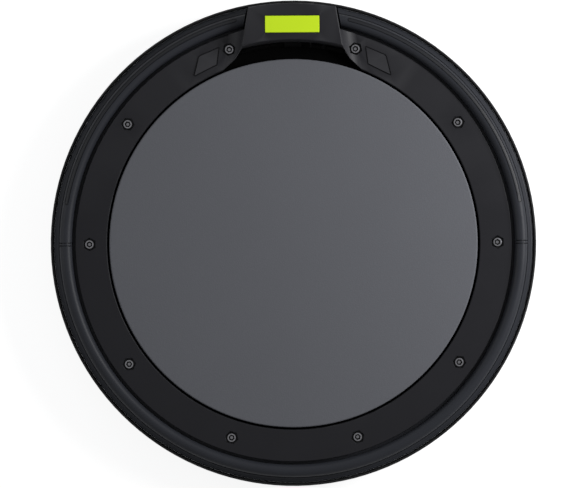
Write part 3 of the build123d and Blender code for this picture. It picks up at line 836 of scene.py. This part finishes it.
@dataclass
class Studio:
    """Camera straight above, soft lamps, pale floor and white surroundings."""

    camera_height: float = 2.2
    aim_x: float = 0.4 * MM
    aim_y: float = -0.6 * MM
    turn: float = -0.35
    view_width: float = 460.35 * MM
    view_level: float = 33.0 * MM
    sensor: float = 36.0
    ambient: float = 0.25
    sky: tuple[float, float, float, float] = (0.96, 0.98, 1.0, 1.0)
    white: tuple[float, float, float, float] = (1.0, 1.0, 1.0, 1.0)
    floor_half: float = 6.0
    floor_plain: tuple[float, float, float, float] = (0.6, 0.6, 0.6, 1.0)
    floor_shade: tuple[float, float, float, float] = (0.30, 0.30, 0.30, 1.0)
    floor_glow: float = 0.86
    lamps: tuple[Lamp, ...] = (
        Lamp("key_lamp", (0.70, 0.20, 0.48), 0.42, 0.30, 9.7, (0.99, 0.99, 1.0)),
        Lamp("left_lamp", (-0.75, 0.15, 0.45), 0.5, 0.3, 1.2, (0.97, 0.985, 1.0)),
        Lamp("top_lamp", (-0.25, 0.85, 0.75), 0.6, 0.4, 0.7, (0.97, 0.985, 1.0)),
    )

    def build(self) -> None:
        """Make everything round the pad."""
        scene = bpy.context.scene
        scene.view_settings.view_transform = "Standard"
        self.camera()
        self.surroundings()
        self.floor()
        for lamp in self.lamps:
            lamp.build()

    def camera(self) -> None:
        """Make the camera above the pad, looking straight down."""
        data = bpy.data.cameras.new("camera")
        data.sensor_width = self.sensor
        data.lens = self.sensor * (self.camera_height - self.view_level) / self.view_width
        camera = bpy.data.objects.new("camera", data)
        camera.location = (self.aim_x, self.aim_y, self.camera_height)
        camera.rotation_euler = (0.0, 0.0, math.radians(self.turn))
        bpy.context.collection.objects.link(camera)
        bpy.context.scene.camera = camera

    def seen_white(self, wiring: Wiring) -> bpy.types.NodeSocket:
        """Say where a ray should meet plain white: seen, mirrored or through glass.

        Args:
            wiring: The nodes to add to.

        Returns:
            The socket that is 1 for such rays.
        """
        path = wiring.add("ShaderNodeLightPath")
        total = path.outputs["Is Camera Ray"]
        for kind in ("Is Glossy Ray", "Is Transmission Ray"):
            either = wiring.add("ShaderNodeMath")
            either.operation = "MAXIMUM"
            wiring.join(total, either.inputs[0])
            wiring.join(path.outputs[kind], either.inputs[1])
            total = either.outputs[0]
        return total

    def surroundings(self) -> None:
        """Make the world: white where it is seen, a plain grey where it lights the pad."""
        world = bpy.data.worlds.new("surroundings")
        bpy.context.scene.world = world
        world.use_nodes = True
        wiring = Wiring(world.node_tree)
        light = world.node_tree.nodes["Background"]
        light.inputs["Color"].default_value = self.sky
        light.inputs["Strength"].default_value = self.ambient
        seen = wiring.add("ShaderNodeBackground")
        seen.inputs["Color"].default_value = self.white
        seen.inputs["Strength"].default_value = 1.0
        choice = wiring.add("ShaderNodeMixShader")
        wiring.join(self.seen_white(wiring), choice.inputs[0])
        wiring.join(light.outputs[0], choice.inputs[1])
        wiring.join(seen.outputs[0], choice.inputs[2])
        wiring.join(choice.outputs[0], world.node_tree.nodes["World Output"].inputs["Surface"])

    def floor(self) -> None:
        """Make the floor, which looks white and keeps the pad's soft shadow."""
        mesh = bpy.data.meshes.new("floor")
        half = self.floor_half
        corners = [(x * half, y * half, 0.0) for x, y in ((-1, -1), (1, -1), (1, 1), (-1, 1))]
        mesh.from_pydata(corners, [], [(0, 1, 2, 3)])
        floor = bpy.data.objects.new("floor", mesh)
        bpy.context.collection.objects.link(floor)
        material = bpy.data.materials.new("floor_white")
        material.use_nodes = True
        nodes = material.node_tree.nodes
        nodes.remove(nodes["Principled BSDF"])
        wiring = Wiring(material.node_tree)
        plain = wiring.add("ShaderNodeBsdfDiffuse")
        plain.inputs["Color"].default_value = self.floor_plain
        shade = wiring.add("ShaderNodeBsdfDiffuse")
        shade.inputs["Color"].default_value = self.floor_shade
        glow = wiring.add("ShaderNodeEmission")
        glow.inputs["Strength"].default_value = self.floor_glow
        both = wiring.add("ShaderNodeAddShader")
        wiring.join(shade.outputs[0], both.inputs[0])
        wiring.join(glow.outputs[0], both.inputs[1])
        choice = wiring.add("ShaderNodeMixShader")
        wiring.join(self.seen_white(wiring), choice.inputs[0])
        wiring.join(plain.outputs[0], choice.inputs[1])
        wiring.join(both.outputs[0], choice.inputs[2])
        clear = wiring.add("ShaderNodeBsdfTransparent")
        underneath = wiring.add("ShaderNodeMixShader")
        geometry = wiring.add("ShaderNodeNewGeometry")
        wiring.join(geometry.outputs["Backfacing"], underneath.inputs[0])
        wiring.join(choice.outputs[0], underneath.inputs[1])
        wiring.join(clear.outputs[0], underneath.inputs[2])
        wiring.join(underneath.outputs[0], nodes["Material Output"].inputs["Surface"])
        mesh.materials.append(material)


def main() -> None:
    """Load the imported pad, make its soft pieces, dress every part and set up the studio."""
    logging.basicConfig(level=logging.INFO, format="%(message)s")
    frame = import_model()
    paint = Paint()
    for assembly in (
        BaseAssembly(paint),
        ClampAssembly(paint),
        RimAssembly(paint),
        PadAssembly(paint),
        SignalAssembly(paint),
    ):
        assembly.build(frame["nodes"])
        log.info("finished %s", type(assembly).__name__)
    Studio().build()


if __name__ == "__main__":
    main()
